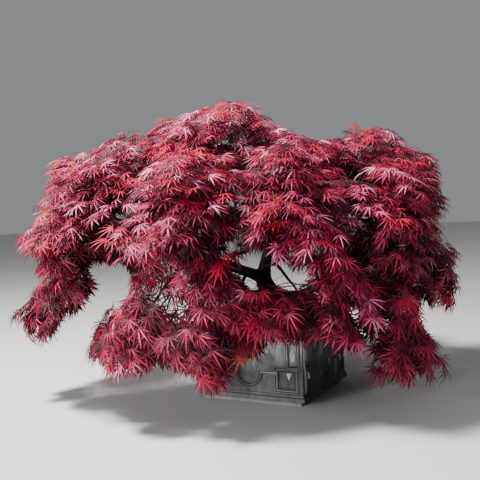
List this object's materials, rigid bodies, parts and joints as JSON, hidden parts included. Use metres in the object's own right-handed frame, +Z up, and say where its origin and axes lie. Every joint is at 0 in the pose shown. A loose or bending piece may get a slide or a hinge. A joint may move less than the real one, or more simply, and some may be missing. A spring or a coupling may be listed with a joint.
{
  "type": "potted weeping maple",
  "caption": "Weeping, cut-leaved dark red maple in a square cast planter with strapwork sides, standing on its flat foot.",
  "frame": {"origin": "middle of the planter's flat underside, on the ground", "axes": "+Z up; the planter's sides lie along X and Y, its wide side in the picture faces -Y and its shaded side +X; the tree's broad side faces the corner between them, 28 degrees from -Y toward +X"},
  "size_m": [2.3135, 2.2259, 1.6671],
  "materials": {
    "cast_stone": "weathered grey casting, matte, with pale streaks and dark dirt in the hollows",
    "soil": "dark crumbly potting soil, matte",
    "bark": "dark purple-brown bark, matte, finely fissured",
    "foliage": "thin deep crimson leaves with a soft pink sheen"
  },
  "bodies": {
    "root": {"planter_foot": "cast_stone", "planter_base": "cast_stone", "planter_body": "cast_stone", "planter_rim": "cast_stone", "soil": "soil", "trunk": "bark", "bough_left": "bark", "bough_up": "bark", "bough_right": "bark", "branch_left_top": "bark", "branch_middle_top": "bark", "branch_front_left": "bark", "branch_front_loop": "bark", "branch_front_right": "bark", "branch_far_right": "bark", "branch_back_left": "bark", "branch_back": "bark", "branch_back_right": "bark", "branch_back_top_left": "bark", "branch_back_top_right": "bark", "branch_left_skirt": "bark", "branch_left_hanging": "bark", "branch_low_left": "bark", "branch_low_left_outer": "bark", "branch_low_left_front": "bark", "branch_over_rim_left": "bark", "branch_over_rim": "bark", "branch_low_right": "bark", "branch_low_right_outer": "bark", "branch_right_skirt": "bark", "branch_back_left_skirt": "bark", "branch_back_skirt": "bark", "branch_back_right_skirt": "bark", "foliage_top": "foliage", "foliage_top_right": "foliage", "foliage_top_left": "foliage", "foliage_top_middle": "foliage", "foliage_far_left": "foliage", "foliage_front_left": "foliage", "foliage_front": "foliage", "foliage_front_right": "foliage", "foliage_far_right": "foliage", "foliage_back_left": "foliage", "foliage_back": "foliage", "foliage_back_right": "foliage", "foliage_back_top_left": "foliage", "foliage_back_top_right": "foliage", "foliage_left_skirt": "foliage", "foliage_left_hanging": "foliage", "foliage_low_left": "foliage", "foliage_low_left_outer": "foliage", "foliage_low_left_front": "foliage", "foliage_rim_left": "foliage", "foliage_rim": "foliage", "foliage_low_right": "foliage", "foliage_low_right_outer": "foliage", "foliage_right_skirt": "foliage", "foliage_back_left_skirt": "foliage", "foliage_back_skirt": "foliage", "foliage_back_right_skirt": "foliage"}
  },
  "joints": []
}
